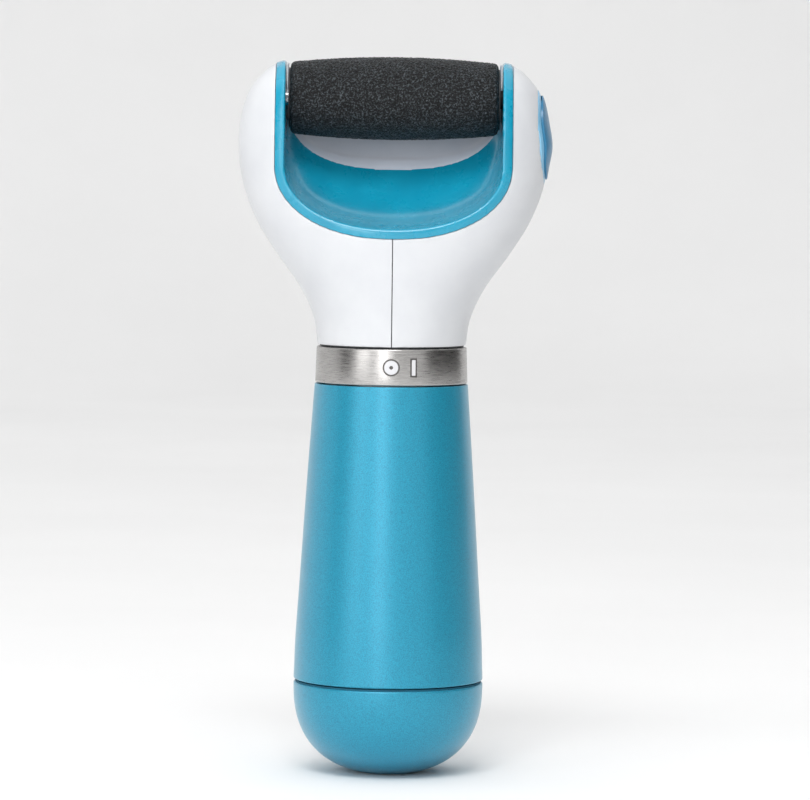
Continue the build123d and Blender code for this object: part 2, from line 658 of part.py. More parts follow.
def make_switch():
    board = disc(13.7, 90.4, 91.6) - block((-20, 20), (-20, -9), (90, 92))
    keep("switch_board", one_solid(board))
    fingers = []
    for angle in (-SWITCH_ANGLE, 0):
        finger = block((-0.8, 0.8), (9.5, 13.2), (91.6, 92.0))
        finger = finger + block((-0.8, 0.8), (11.8, 12.6), (92.0, 92.7))
        fingers.append(Rot(0, 0, angle) * one_solid(finger))
    keep("switch_contacts", Compound(children=fingers))
    pillars = [Pos(x, -2, 0) * disc(1.5, 88.4, 90.4) for x in (-11.5, 11.5)]
    pillars = pillars + [Pos(0, 11.5, 0) * disc(1.5, 88.4, 90.4)]
    keep("board_pillars", Compound(children=pillars))
    leads = []
    for lug_z, depth in ((MOTOR_Z - 6.5, 3.2), (MOTOR_Z + 6.5, 1.7)):
        points = (
            (10.0, depth, 91.6),
            (10.0, depth, 105.0),
            (18.4, depth, 118.0),
            (18.4, depth, lug_z),
            (18.4, MOTOR_Y - 1.2, lug_z),
        )
        route = FilletPolyline(*points, radius=[4.0, 4.0, 0.9])
        section = Plane(origin=points[0], z_dir=(0, 0, 1)) * Circle(0.5)
        leads.append(one_solid(sweep(section, path=route)))
    keep("motor_leads", Compound(children=leads))


def build_all():
    make_head()
    make_handle()
    make_cap()
    make_springs()
    make_collar()
    make_frame()
    make_motor()
    make_gears()
    make_gear_supports()
    make_roller()
    make_release()
    make_batteries()
    make_switch()


build_all()
for name, shape in NODES.items():
    export_step(shape, f"parts/{name}.step")
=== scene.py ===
import json
import math

import bpy
import numpy as np
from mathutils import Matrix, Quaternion, Vector, noise


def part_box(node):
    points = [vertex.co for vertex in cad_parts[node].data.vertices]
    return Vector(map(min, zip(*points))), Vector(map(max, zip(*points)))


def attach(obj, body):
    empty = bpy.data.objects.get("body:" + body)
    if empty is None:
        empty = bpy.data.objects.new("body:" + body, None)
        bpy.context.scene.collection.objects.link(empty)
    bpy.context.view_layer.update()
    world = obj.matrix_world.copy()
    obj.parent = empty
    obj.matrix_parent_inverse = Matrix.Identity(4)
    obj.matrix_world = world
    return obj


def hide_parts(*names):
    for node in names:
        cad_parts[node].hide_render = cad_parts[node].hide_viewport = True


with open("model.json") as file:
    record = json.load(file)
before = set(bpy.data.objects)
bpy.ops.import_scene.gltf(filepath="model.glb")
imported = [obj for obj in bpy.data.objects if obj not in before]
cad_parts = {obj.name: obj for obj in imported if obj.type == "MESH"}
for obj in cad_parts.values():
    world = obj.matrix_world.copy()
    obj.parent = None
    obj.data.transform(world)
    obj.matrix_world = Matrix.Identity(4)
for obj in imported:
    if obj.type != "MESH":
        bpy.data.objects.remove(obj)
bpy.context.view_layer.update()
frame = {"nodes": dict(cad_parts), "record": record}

# Lengths here are millimetres, as in the part's own drawing, and meshes are written in metres.
MM = 0.001
SHARP = 38  # degrees; edges that turn more than this are shown sharp


# ---------------------------------------------------------------- places, read from the frame
def box_mm(node):
    low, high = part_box(node)
    return np.array(low) / MM, np.array(high) / MM


roller_low, roller_high = box_mm("roller_sleeve")
ROLLER_Y = (roller_low[1] + roller_high[1]) / 2
ROLLER_Z = (roller_low[2] + roller_high[2]) / 2
ROLLER_HALF = (roller_high[0] - roller_low[0]) / 2
ROLLER_RADIUS = (roller_high[2] - roller_low[2]) / 2
collar_low, collar_high = box_mm("switch_collar")
COLLAR_TOP = collar_high[2]
COLLAR_HEIGHT = 8.8
COLLAR_BOTTOM = COLLAR_TOP - COLLAR_HEIGHT
COLLAR_MIDDLE = (COLLAR_BOTTOM + COLLAR_TOP) / 2
SKIRT_BOTTOM = collar_low[2]
handle_low, handle_high = box_mm("handle_sleeve")
HANDLE_BOTTOM = handle_low[2]
HANDLE_TOP = handle_high[2]
HANDLE_RADIUS = (handle_high[0] - handle_low[0]) / 2
CAP_TOP = box_mm("battery_cap")[1][2]
HEAD_FOOT = box_mm("head_shell_left")[0][2]
button_low, button_high = box_mm("release_button")
BUTTON_Z = (button_low[2] + button_high[2]) / 2
ON_ANGLE = math.radians(17)  # from the off mark round to the on mark
MARK_RING = (0.45, 1.7)  # inner and outer radius
MARK_BAR = (0.45, 1.9)  # half width, half height

# (height, half width, half depth) of the head, from the neck to the tips of the arms
HEAD_STATIONS = (
    (104.9, 18.1, 18.1),
    (110.9, 19.0, 18.5),
    (118.7, 22.5, 19.2),
    (126.5, 28.0, 19.9),
    (134.4, 33.0, 20.4),
    (142.2, 36.2, 20.7),
    (150.0, 37.7, 20.6),
    (157.8, 37.7, 20.0),
    (163.7, 36.5, 19.0),
    (167.6, 34.8, 17.9),
    (170.6, 32.3, 16.7),
    (172.6, 29.8, 15.6),
    (173.7, 27.2, 14.6),
    (174.3, 24.0, 13.0),
)
HEAD_WALL = 1.7
# (depth position, floor height, height where the sides stand upright, roundness) of the bay
BAY_STATIONS = (
    (-26.0, 132.8, 148.0, 2.2),
    (-19.5, 133.4, 148.0, 2.2),
    (-12.0, 134.9, 149.5, 2.2),
    (-5.0, 138.5, 153.0, 2.3),
    (0.0, 142.9, 158.0, 2.4),
    (4.0, 147.7, 164.5, 2.5),
    (8.0, 154.2, 168.0, 2.6),
    (10.6, 159.8, 170.0, 2.8),
    (13.6, 163.6, 171.0, 3.0),
    (18.0, 165.0, 171.0, 3.2),
    (26.0, 165.4, 171.0, 3.2),
)
BAY_HALF = 26.3
RIM_WIDTH = 2.4
GUARD_FRONT = 4.0


# ---------------------------------------------------------------- fields: negative inside, in millimetres
def curve(at, stations, column):
    """Smooth curve through one column of a station table, with its slope."""
    keys = np.array([row[0] for row in stations])
    values = np.array([row[column] for row in stations])
    slopes = np.gradient(values, keys)
    at = np.clip(at, keys[0], keys[-1])
    i = np.clip(np.searchsorted(keys, at) - 1, 0, len(keys) - 2)
    width = keys[i + 1] - keys[i]
    t = (at - keys[i]) / width
    rise = values[i + 1] - values[i]
    m0 = slopes[i] * width
    m1 = slopes[i + 1] * width
    c = 3 * rise - 2 * m0 - m1
    d = m0 + m1 - 2 * rise
    return values[i] + t * (m0 + t * (c + t * d)), (m0 + t * (2 * c + 3 * t * d)) / width


def power_mean(a, b, p):
    return (a**p + b**p) ** (1 / p)


def head_field(x, y, z):
    half_width, width_slope = curve(z, HEAD_STATIONS, 1)
    half_depth, depth_slope = curve(z, HEAD_STATIONS, 2)
    rise = (z - HEAD_STATIONS[0][0]) / (HEAD_STATIONS[-1][0] - HEAD_STATIONS[0][0])
    p = 2.0 + 0.4 * np.clip(3 * rise, 0, 1)
    g = power_mean(np.abs(x) / half_width, np.abs(y) / half_depth, p) + 1e-9
    across = x * x + y * y + 1e-9
    slope = (width_slope * x * x + depth_slope * y * y) / across
    side = (1 - 1 / g) * np.sqrt(across) / np.sqrt(1 + slope * slope)
    return np.maximum(side, z - HEAD_STATIONS[-1][0])


def bay_field(x, y, z, grow):
    floor, floor_slope = curve(y, BAY_STATIONS, 1)
    side, _ = curve(y, BAY_STATIONS, 2)
    p, _ = curve(y, BAY_STATIONS, 3)
    below = np.maximum(side - z, 0)
    half = BAY_HALF + grow
    g = power_mean(np.abs(x) / half, below / (side - floor + grow), p) + 1e-9
    across = x * x + below * below + 1e-9
    slope = floor_slope * below * below / across
    return (1 - 1 / g) * np.sqrt(across) / np.sqrt(1 + slope * slope)


def both(a, b, radius=0.0):
    """Intersection of two fields, with its edge rounded."""
    if radius == 0:
        return np.maximum(a, b)
    u = np.maximum(a + radius, 0)
    v = np.maximum(b + radius, 0)
    return np.minimum(-radius, np.maximum(a, b)) + np.sqrt(u * u + v * v)


def oval_field(y, z, grow):
    half_y = 8.0 + grow
    half_z = 10.2 + grow
    g = power_mean(np.abs(y) / half_y, np.abs(z - BUTTON_Z) / half_z, 2.2) + 1e-9
    return (1 - 1 / g) * np.sqrt(y * y + (z - BUTTON_Z) ** 2 + 1e-9)


# ---------------------------------------------------------------- dual contouring of a field into quads
def gradient(field, points):
    step = 0.02
    slopes = []
    for axis in range(3):
        shift = np.zeros(3)
        shift[axis] = step
        ahead = field(*(points + shift).T)
        behind = field(*(points - shift).T)
        slopes.append(ahead - behind)
    normal = np.stack(slopes, axis=1)
    return normal / (np.linalg.norm(normal, axis=1, keepdims=True) + 1e-12)


def contour(field, low, high, cell):
    """Points and quads on the zero surface of field, with its sharp edges kept."""
    low = np.array(low, float)
    count = np.ceil((np.array(high) - low) / cell).astype(int) + 1
    lines = [low[a] + cell * np.arange(count[a]) for a in range(3)]
    value = field(lines[0][:, None, None], lines[1][None, :, None], lines[2][None, None, :])
    value = np.broadcast_to(value, count)
    inside = value < 0
    cells = count - 1
    crossings = []
    for axis in range(3):
        front = np.take(inside, range(0, count[axis] - 1), axis)
        back = np.take(inside, range(1, count[axis]), axis)
        start = np.argwhere(front != back)
        end = start.copy()
        end[:, axis] += 1
        first = value[tuple(start.T)]
        a = low + cell * start
        b = low + cell * end
        near = np.zeros(len(start))
        far = np.ones(len(start))
        for _ in range(9):
            middle = (near + far) / 2
            sample = field(*(a + (b - a) * middle[:, None]).T)
            same = (sample < 0) == (first < 0)
            near = np.where(same, middle, near)
            far = np.where(same, far, middle)
        point = a + (b - a) * ((near + far) / 2)[:, None]
        crossings.append((axis, start, point, gradient(field, point), first < 0))

    flat = np.array([cells[1] * cells[2], cells[2], 1])
    keys, points, normals, corners = [], [], [], []
    for axis, start, point, normal, outward in crossings:
        second, third = (axis + 1) % 3, (axis + 2) % 3
        ring = []
        for db, dc in ((-1, -1), (0, -1), (0, 0), (-1, 0)):
            cube = start.copy()
            cube[:, second] += db
            cube[:, third] += dc
            ring.append(cube @ flat)
            keys.append(ring[-1])
            points.append(point)
            normals.append(normal)
        quad = np.stack(ring, axis=1)
        corners.append(np.where(outward[:, None], quad, quad[:, ::-1]))
    keys = np.concatenate(keys)
    points = np.concatenate(points)
    normals = np.concatenate(normals)
    names, index = np.unique(keys, return_inverse=True)
    hits = np.bincount(index).astype(float)
    middle = np.stack([np.bincount(index, points[:, a]) / hits for a in range(3)], axis=1)
    square = np.zeros((len(names), 3, 3))
    right = np.zeros((len(names), 3))
    along = np.einsum("ij,ij->i", normals, points - middle[index])
    for i in range(3):
        right[:, i] = np.bincount(index, normals[:, i] * along)
        for j in range(3):
            square[:, i, j] = np.bincount(index, normals[:, i] * normals[:, j])
    pull = 0.03  # towards the middle of a cell's crossings, where the surface is flat
    square += pull * np.eye(3)
    place = middle + np.linalg.solve(square, right[:, :, None])[:, :, 0]
    cube = np.stack(np.unravel_index(names, cells), axis=1)
    slack = 0.05 * cell
    place = np.clip(place, low + cell * cube - slack, low + cell * (cube + 1) + slack)
    quads = np.searchsorted(names, np.concatenate(corners))
    return place, quads


# ---------------------------------------------------------------- pieces
def new_piece(name, points, faces, body, nodes, material, sharp=SHARP):
    mesh = bpy.data.meshes.new(name)
    mesh.from_pydata((np.asarray(points) * MM).tolist(), [], np.asarray(faces).tolist())
    mesh.update()
    mesh.materials.append(material)
    mesh.shade_smooth()
    mesh.set_sharp_from_angle(angle=math.radians(sharp))
    piece = bpy.data.objects.new(name, mesh)
    bpy.context.scene.collection.objects.link(piece)
    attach(piece, body)
    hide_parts(*nodes)
    return piece


def field_piece(name, field, low, high, cell, body, node, material, sharp=SHARP):
    points, quads = contour(field, low, high, cell)
    return new_piece(name, points, quads, body, [node], material, sharp)


def rounded_outline(corners, steps=5):
    """Closed outline from (radius, height, rounding) corners; rounding 0 keeps the point."""
    outline = []
    total = len(corners)
    for i, (r, z, rounding) in enumerate(corners):
        here = np.array([r, z])
        if rounding == 0:
            outline.append(here)
            continue
        before = np.array(corners[i - 1][:2]) - here
        after = np.array(corners[(i + 1) % total][:2]) - here
        before = before / np.linalg.norm(before)
        after = after / np.linalg.norm(after)
        half = math.acos(np.clip(before @ after, -1, 1)) / 2
        reach = rounding / math.tan(half)
        middle = before + after
        centre = here + middle / np.linalg.norm(middle) * rounding / math.sin(half)
        a = here + before * reach - centre
        b = here + after * reach - centre
        turn = math.atan2(a[0] * b[1] - a[1] * b[0], a @ b)
        for step in range(steps + 1):
            angle = turn * step / steps
            c, s = math.cos(angle), math.sin(angle)
            outline.append(centre + np.array([c * a[0] - s * a[1], s * a[0] + c * a[1]]))
    return np.array(outline)


def turned(outline, steps, axis="Z"):
    """Points and quads of a closed outline (radius, place) turned about an axis."""
    angles = 2 * math.pi * np.arange(steps) / steps
    radius, place = outline[:, 0], outline[:, 1]
    a = radius[None, :] * np.cos(angles)[:, None]
    b = radius[None, :] * np.sin(angles)[:, None]
    c = np.broadcast_to(place, a.shape)
    stack = (a, b, c) if axis == "Z" else (c, a, b)
    points = np.stack(stack, axis=2).reshape(-1, 3)
    count = len(outline)
    i = np.arange(steps)[:, None] * count
    j = np.arange(count)[None, :]
    after = (np.arange(steps)[:, None] + 1) % steps * count
    up = (np.arange(count)[None, :] + 1) % count
    quads = np.stack([i + j, after + j, after + up, i + up], axis=2).reshape(-1, 4)
    return points, quads


# ---------------------------------------------------------------- materials
def srgb(red, green, blue):
    """Linear colour from 0-255 display values."""
    def linear(value):
        v = value / 255
        return v / 12.92 if v <= 0.04045 else ((v + 0.055) / 1.055) ** 2.4
    return linear(red), linear(green), linear(blue), 1.0


class Shader:
    """A Principled material with a few shorthand ways to add procedural detail."""

    def __init__(self, name, **values):
        self.material = bpy.data.materials.new(name)
        self.material.use_nodes = True
        self.tree = self.material.node_tree
        self.body = self.tree.nodes["Principled BSDF"]
        for key, value in values.items():
            self.body.inputs[key.replace("_", " ")].default_value = value
        self.place = self.tree.nodes.new("ShaderNodeTexCoord").outputs["Object"]

    def node(self, kind, **inputs):
        made = self.tree.nodes.new(kind)
        for key, value in inputs.items():
            made.inputs[key.replace("_", " ")].default_value = value
        return made

    def link(self, source, target):
        self.tree.links.new(source, target)

    def stretched(self, scale):
        mapping = self.node("ShaderNodeMapping", Scale=scale)
        self.link(self.place, mapping.inputs["Vector"])
        return mapping.outputs["Vector"]

    def noise(self, scale, detail=4.0, roughness=0.55, stretch=(1, 1, 1)):
        made = self.node("ShaderNodeTexNoise", Scale=scale, Detail=detail, Roughness=roughness)
        self.link(self.stretched(stretch), made.inputs["Vector"])
        return made.outputs["Fac"]

    def cells(self, scale, stretch=(1, 1, 1)):
        made = self.node("ShaderNodeTexVoronoi", Scale=scale)
        self.link(self.stretched(stretch), made.inputs["Vector"])
        return made.outputs["Distance"]

    def between(self, source, low, high, start=0.0, end=1.0):
        """Map a value from start..end to low..high."""
        made = self.tree.nodes.new("ShaderNodeMapRange")
        made.inputs["From Min"].default_value = start
        made.inputs["From Max"].default_value = end
        made.inputs["To Min"].default_value = low
        made.inputs["To Max"].default_value = high
        self.link(source, made.inputs["Value"])
        return made.outputs["Result"]

    def colour_between(self, source, low, high, start=0.3, end=0.7):
        ramp = self.tree.nodes.new("ShaderNodeValToRGB")
        ramp.color_ramp.elements[0].position = start
        ramp.color_ramp.elements[0].color = low
        ramp.color_ramp.elements[1].position = end
        ramp.color_ramp.elements[1].color = high
        self.link(source, ramp.inputs["Fac"])
        self.link(ramp.outputs["Color"], self.body.inputs["Base Color"])

    def roughness(self, source, low, high):
        self.link(self.between(source, low, high, 0.25, 0.75), self.body.inputs["Roughness"])

    def bump(self, source, height, strength=1.0):
        made = self.node("ShaderNodeBump", Strength=strength, Distance=height)
        self.link(source, made.inputs["Height"])
        normal = self.body.inputs["Normal"]
        if normal.is_linked:
            self.link(normal.links[0].from_socket, made.inputs["Normal"])
        self.link(made.outputs["Normal"], normal)


def moulded(name, low, high, rough=(0.28, 0.38), coat=0.2, grain=0.000012, scale=2600.0):
    """Moulded plastic: faint mottling, fine spark-eroded grain and uneven gloss from handling."""
    made = Shader(name, Coat_Weight=coat, Coat_Roughness=0.12, IOR=1.5)
    made.colour_between(made.noise(90.0), low, high)
    made.roughness(made.noise(140.0, 6.0, 0.6), *rough)
    made.bump(made.noise(scale, 3.0), grain)
    return made.material


def metal(name, low, high, rough, stretch=(1, 1, 1), grain=0.000006, scale=900.0):
    made = Shader(name, Metallic=1.0)
    lines = made.noise(scale, 5.0, 0.6, stretch)
    made.colour_between(lines, low, high)
    made.roughness(lines, *rough)
    made.bump(lines, grain)
    return made.material


def pearl(name, low, high, rough, metallic=0.4):
    """Satin pearl lacquer: fine flakes under a soft clear coat."""
    made = Shader(name, Metallic=metallic, Coat_Weight=0.8, Coat_Roughness=0.34, Coat_IOR=1.5, IOR=1.45)
    flakes = made.cells(5200.0)
    made.colour_between(flakes, high, low, 0.05, 0.75)
    made.roughness(made.noise(160.0, 6.0, 0.6), *rough)
    made.bump(flakes, 0.000004)
    made.bump(made.noise(420.0, 3.0), 0.000010)
    return made.material


def grit(name):
    """Mineral crystals bonded in black resin; the light crystal specks are partly the crystals' own
    colour and partly a painted sparkle, made brighter in place of a stronger specular glint.
    """
    made = Shader(name, Specular_IOR_Level=0.26, IOR=1.5)
    coarse = made.noise(2200.0, 5.0, 0.7)
    fine = made.cells(2400.0)
    # light specks: crystal colour raised into a painted sparkle
    made.colour_between(coarse, srgb(6, 7, 8), srgb(104, 112, 118), 0.5, 0.72)
    made.roughness(made.noise(1900.0, 4.0), 0.24, 0.6)
    made.bump(coarse, 0.0004)
    made.bump(fine, 0.0002)
    return made.material


def rubber(name, low, high):
    made = Shader(name, IOR=1.5)
    made.colour_between(made.noise(300.0), low, high)
    made.roughness(made.noise(500.0), 0.6, 0.8)
    made.bump(made.noise(3000.0, 2.0), 0.00001)
    return made.material


def laminated(name):
    """Armature: iron laminations with copper between them."""
    made = Shader(name, Metallic=0.9)
    stripes = made.noise(60.0, 1.0, 0.4, (40, 1, 1))
    made.colour_between(stripes, srgb(96, 60, 36), srgb(150, 120, 100))
    made.roughness(stripes, 0.3, 0.55)
    made.bump(stripes, 0.00003)
    return made.material


WHITE = moulded("white_shell", srgb(206, 208, 212), srgb(213, 215, 218), (0.30, 0.40), 0.18)
TEAL = pearl("teal_satin", srgb(0, 128, 160), srgb(20, 170, 202), (0.34, 0.42))
LINER = moulded("teal_liner", srgb(0, 140, 172), srgb(16, 154, 186), (0.24, 0.32), 0.6)
GUARD = moulded("grey_guard", srgb(190, 195, 206), srgb(200, 204, 214), (0.36, 0.46), 0.1)
STEEL = metal(
    "collar_metal", srgb(160, 158, 157), srgb(196, 194, 192), (0.24, 0.32), (1, 1, 26), 0.000008, 320.0
)
MARK = moulded("collar_mark", srgb(206, 206, 209), srgb(216, 216, 219), (0.3, 0.4), 0.2)
# darker metal for the floors of the switch-mark recesses: painted shade in the grooves
RECESS_SHADE = metal("collar_recess_shade", srgb(96, 94, 92), srgb(118, 116, 114), (0.4, 0.5))
GRIT = grit("mineral_grit")
BLACK = moulded("black_plastic", srgb(20, 20, 22), srgb(30, 30, 33), (0.45, 0.6), 0.0, 0.00002, 1800.0)
BUTTON = moulded("button_blue", srgb(0, 104, 146), srgb(8, 114, 156), (0.30, 0.42), 0.2)
BEZEL = moulded("bezel_blue", srgb(120, 180, 215), srgb(135, 192, 224), (0.26, 0.36), 0.3)
SEAL = rubber("seal_rubber", srgb(0, 84, 108), srgb(4, 96, 120))
DARK_RUBBER = rubber("dark_rubber", srgb(52, 54, 56), srgb(66, 68, 70))
INNER = moulded("inner_plastic", srgb(52, 54, 58), srgb(66, 68, 72), (0.5, 0.65), 0.0, 0.00002, 1500.0)
GEAR = moulded("gear_plastic", srgb(226, 222, 206), srgb(236, 233, 220), (0.34, 0.46), 0.0)
SHAFT = metal("shaft_steel", srgb(176, 178, 182), srgb(206, 208, 212), (0.18, 0.3), (30, 1, 1))
BRONZE = metal("bearing_bronze", srgb(150, 112, 62), srgb(184, 142, 84), (0.35, 0.5))
CAN = metal("motor_steel", srgb(168, 170, 172), srgb(196, 198, 200), (0.28, 0.4), (1, 8, 8))
FERRITE = moulded("magnet_black", srgb(38, 38, 40), srgb(52, 52, 55), (0.5, 0.7), 0.0)
ARMATURE = laminated("armature_metal")
CONTACT = metal("contact_metal", srgb(196, 188, 166), srgb(222, 215, 196), (0.2, 0.34))
SPRING = metal("spring_steel", srgb(186, 188, 192), srgb(220, 222, 226), (0.12, 0.24))
BOARD = moulded("board_green", srgb(18, 92, 52), srgb(28, 112, 66), (0.3, 0.42), 0.3)
CELL = metal("cell_jacket", srgb(120, 124, 130), srgb(150, 154, 160), (0.25, 0.38))
WIRE = rubber("wire_red", srgb(150, 24, 22), srgb(176, 34, 30))
FINISHES = {
    "white_shell": WHITE, "teal_satin": TEAL, "teal_liner": LINER, "grey_guard": GUARD,
    "collar_metal": STEEL, "collar_mark": MARK, "mineral_grit": GRIT, "black_plastic": BLACK,
    "button_blue": BUTTON, "bezel_blue": BEZEL, "seal_rubber": SEAL, "dark_rubber": DARK_RUBBER,
    "inner_plastic": INNER, "gear_plastic": GEAR, "shaft_steel": SHAFT, "bearing_bronze": BRONZE,
    "motor_steel": CAN, "magnet_black": FERRITE, "armature_metal": ARMATURE, "contact_metal": CONTACT,
    "spring_steel": SPRING, "board_green": BOARD, "cell_jacket": CELL, "wire_red": WIRE,
}


# ---------------------------------------------------------------- head
FINE = 0.5
SEAM = 0.05  # half of the visible gap between pieces that meet
PARTING = 0.11  # half of the line between the two head shells
SHELL_EDGE = 0.35  # rounding of the shells' rims
RIM_EDGE = 0.9  # rounding of the bay's rolled rim
RIM_STAND = 0.12  # how far the rim stands above the shell
BAND_EDGE = 0.25  # rounding of the rim's outer edge
PARTING_EDGE = 0.1
BUTTON_OPENING = 1.45  # clearance of the opening round the button
BUTTON_FLANK = 28  # the opening starts this far out
SPINDLE_HOLE = 4.23  # radius of the holes on the roller's axis
GUARD_INSET = 0.1  # how much narrower the guard is than the bay, on each side
GUARD_EDGE = 0.4


def shell_solid(x, y, z):
    outside = both(head_field(x, y, z), -(bay_field(x, y, z, RIM_WIDTH) - SEAM), SHELL_EDGE)
    outside = both(outside, HEAD_FOOT - z, SHELL_EDGE)
    return both(outside, -(head_field(x, y, z) + HEAD_WALL))


def left_shell(x, y, z):
    return both(shell_solid(x, y, z), x + PARTING, PARTING_EDGE)


def right_shell(x, y, z):
    half = both(shell_solid(x, y, z), PARTING - x, PARTING_EDGE)
    hole = both(oval_field(y, z, BUTTON_OPENING), BUTTON_FLANK - x)
    return both(half, -hole, 0.3)


def band(x, y, z, bead=0.0):
    """The wall between the bay and the shell, with a soft rolled rim; bead thickens it into the bay."""
    rim = both(head_field(x, y, z) - RIM_STAND, -bay_field(x, y, z, 0) - bead, RIM_EDGE)
    return both(rim, bay_field(x, y, z, RIM_WIDTH) + SEAM, BAND_EDGE)


def guard_zone(x, y, gap, rounding):
    """The part of the band that is the rear guard, drawn back by a gap."""
    return both(GUARD_FRONT + gap - y, np.abs(x) - BAY_HALF + GUARD_INSET + gap, rounding)


def liner_solid(x, y, z):
    hole = SPINDLE_HOLE - np.sqrt((y - ROLLER_Y) ** 2 + (z - ROLLER_Z) ** 2)
    return both(both(band(x, y, z), -guard_zone(x, y, -SEAM, 0), 0.15), hole)


def guard_solid(x, y, z):
    """The rear guard, with a bead along its front edge."""
    height, behind, spread = 0.45, 0.9, 0.75
    bead = height * np.exp(-(((y - GUARD_FRONT - behind) / spread) ** 2))
    return both(band(x, y, z, bead), guard_zone(x, y, SEAM, GUARD_EDGE), GUARD_EDGE)


def make_head():
    margin = 1.2
    half_width, half_depth = 38.5, 21
    bay_foot, guard_start, guard_foot = 129, 2, 140
    top = HEAD_STATIONS[-1][0] + margin
    low = (-half_width - margin, -half_depth - margin, HEAD_FOOT - margin)
    high = (half_width + margin, half_depth + margin, top)
    field_piece("head_shell_left_moulding", left_shell, low, (margin, high[1], top), FINE,
                "housing", "head_shell_left", WHITE)
    field_piece("head_shell_right_moulding", right_shell, (-margin, low[1], low[2]), high, FINE,
                "housing", "head_shell_right", WHITE)
    bay_low = (-BAY_HALF - RIM_WIDTH - margin, low[1], bay_foot)
    bay_high = (BAY_HALF + RIM_WIDTH + margin, high[1], top)
    field_piece("bay_liner_moulding", liner_solid, bay_low, bay_high, FINE,
                "housing", "bay_liner", LINER)
    field_piece("rear_guard_moulding", guard_solid, (bay_low[0], guard_start, guard_foot), bay_high, FINE,
                "housing", "rear_guard", GUARD)


# ---------------------------------------------------------------- handle, cap and collar
def handle_radius(height):
    """Smooth side of the handle, read off its CAD ends and waist."""
    waist = ((33.0, 22.85), (44.0, 22.15), (71.5, 20.4))
    stations = ((HANDLE_BOTTOM, HANDLE_RADIUS), *waist, (HANDLE_TOP, 18.75))
    return curve(height, stations, 1)[0]


def make_handle():
    heights = np.linspace(HANDLE_BOTTOM + 0.4, HANDLE_TOP - 0.3, 60)
    wall = 1.75
    side = [(handle_radius(z), z, 0) for z in heights]
    inside = [(handle_radius(z) - wall, z, 0) for z in heights[::-4]]
    corners = [(handle_radius(HANDLE_BOTTOM), HANDLE_BOTTOM, 0.35), *side]
    corners += [(handle_radius(HANDLE_TOP), HANDLE_TOP, 0.25)]
    corners += [(handle_radius(HANDLE_TOP) - wall, HANDLE_TOP, 0.2), *inside]
    corners += [(HANDLE_RADIUS - wall, HANDLE_BOTTOM, 0.2)]
    points, quads = turned(rounded_outline(corners), 192)
    new_piece("handle_sleeve_lacquered", points, quads, "housing", ["handle_sleeve"], TEAL)


def dome(inset, count):
    """Rows from the foot of the cap up to its widest place, drawn in by an inset."""
    widest = 21.5
    roundness = 2.39
    drop = widest + 0.43
    tip = 0.02  # radius left at the pole
    rows = []
    for i in range(count + 1):
        angle = math.pi / 2 * i / count
        r = (HANDLE_RADIUS - inset) * math.sin(angle) ** (2 / roundness)
        z = widest - (drop - inset) * math.cos(angle) ** (2 / roundness)
        rows.append((max(r, tip), max(z, 0.0), 0))
    return rows


def make_cap():
    top = HANDLE_BOTTOM - 0.7
    wall = 2.0
    ledge, spigot, spigot_bore = 21.4, 21.0, 19.4
    corners = [*dome(0, 48), (HANDLE_RADIUS, top, 0.35), (ledge, top, 0.15), (spigot, top + 0.25, 0.1)]
    corners += [(spigot, CAP_TOP, 0.4), (spigot_bore, CAP_TOP, 0.4), (spigot_bore, top - 3.5, 0)]
    corners += dome(wall, 20)[::-1]
    points, quads = turned(rounded_outline(corners), 192)
    new_piece("battery_cap_lacquered", points, quads, "cap", ["battery_cap"], TEAL)


def marks_solid(x, y, z):
    """The off ring and the on bar, as thin inlays in the collar's skin."""
    radius, half_depth = 18.41, 0.2
    skin = np.abs(np.sqrt(x * x + y * y) - radius) - half_depth
    inner, outer = MARK_RING
    ring = np.abs(np.sqrt(x * x + (z - COLLAR_MIDDLE) ** 2) - (inner + outer) / 2) - (outer - inner) / 2
    half_width, half_height = MARK_BAR
    across = x * math.cos(ON_ANGLE) + y * math.sin(ON_ANGLE)
    bar = both(np.abs(across) - half_width, np.abs(z - COLLAR_MIDDLE) - half_height, 0.15)
    return both(both(np.minimum(ring, bar), y), skin, 0.1)


def make_collar():
    foot_radius, top_radius = 18.64, 18.35
    bore = 15.8
    skirt = 16.6
    corners = [
        (foot_radius, COLLAR_BOTTOM, 0.35),
        (top_radius, COLLAR_TOP, 0.35),
        (bore, COLLAR_TOP, 0.2),
        (bore, SKIRT_BOTTOM, 0.2),
        (skirt, SKIRT_BOTTOM, 0.2),
        (skirt, COLLAR_BOTTOM, 0.1),
    ]
    points, quads = turned(rounded_outline(corners), 256)
    ring = new_piece(
        "switch_collar_ring", points, quads, "collar", ["switch_collar"], STEEL
    )
    cut_switch_marks(ring)
    reach = 3
    low = (-reach, -19.5, COLLAR_MIDDLE - reach)
    high = (7.5, -16, COLLAR_MIDDLE + reach)
    cell = 0.12
    field_piece(
        "collar_marks_inlay", marks_solid, low, high, cell, "collar", "collar_marks", MARK
    )


def front_prism(name, outline, turn):
    """Scratch solid standing in front of the collar, from an (x, height) outline about its middle."""
    inner, outer = 18.25, 21.0
    count = len(outline)
    c, s = math.cos(turn), math.sin(turn)
    points = []
    for depth in (-outer, -inner):
        for x, z in outline:
            points.append(((c * x - s * depth) * MM, (s * x + c * depth) * MM, (z + COLLAR_MIDDLE) * MM))
    faces = [list(range(count)), list(range(2 * count - 1, count - 1, -1))]
    for i in range(count):
        j = (i + 1) % count
        faces.append([i, i + count, j + count, j])
    mesh = bpy.data.meshes.new(name)
    mesh.from_pydata(points, [], faces)
    cutter = bpy.data.objects.new(name, mesh)
    bpy.context.scene.collection.objects.link(cutter)
    return cutter


def cut_away(piece, cutter):
    """Cuts the scratch solid out of the piece for good and removes it."""
    groove = piece.modifiers.new("groove", "BOOLEAN")
    groove.operation = "DIFFERENCE"
    groove.object = cutter
    graph = bpy.context.evaluated_depsgraph_get()
    mesh = bpy.data.meshes.new_from_object(piece.evaluated_get(graph))
    piece.modifiers.clear()
    piece.data = mesh
    bpy.data.objects.remove(cutter)


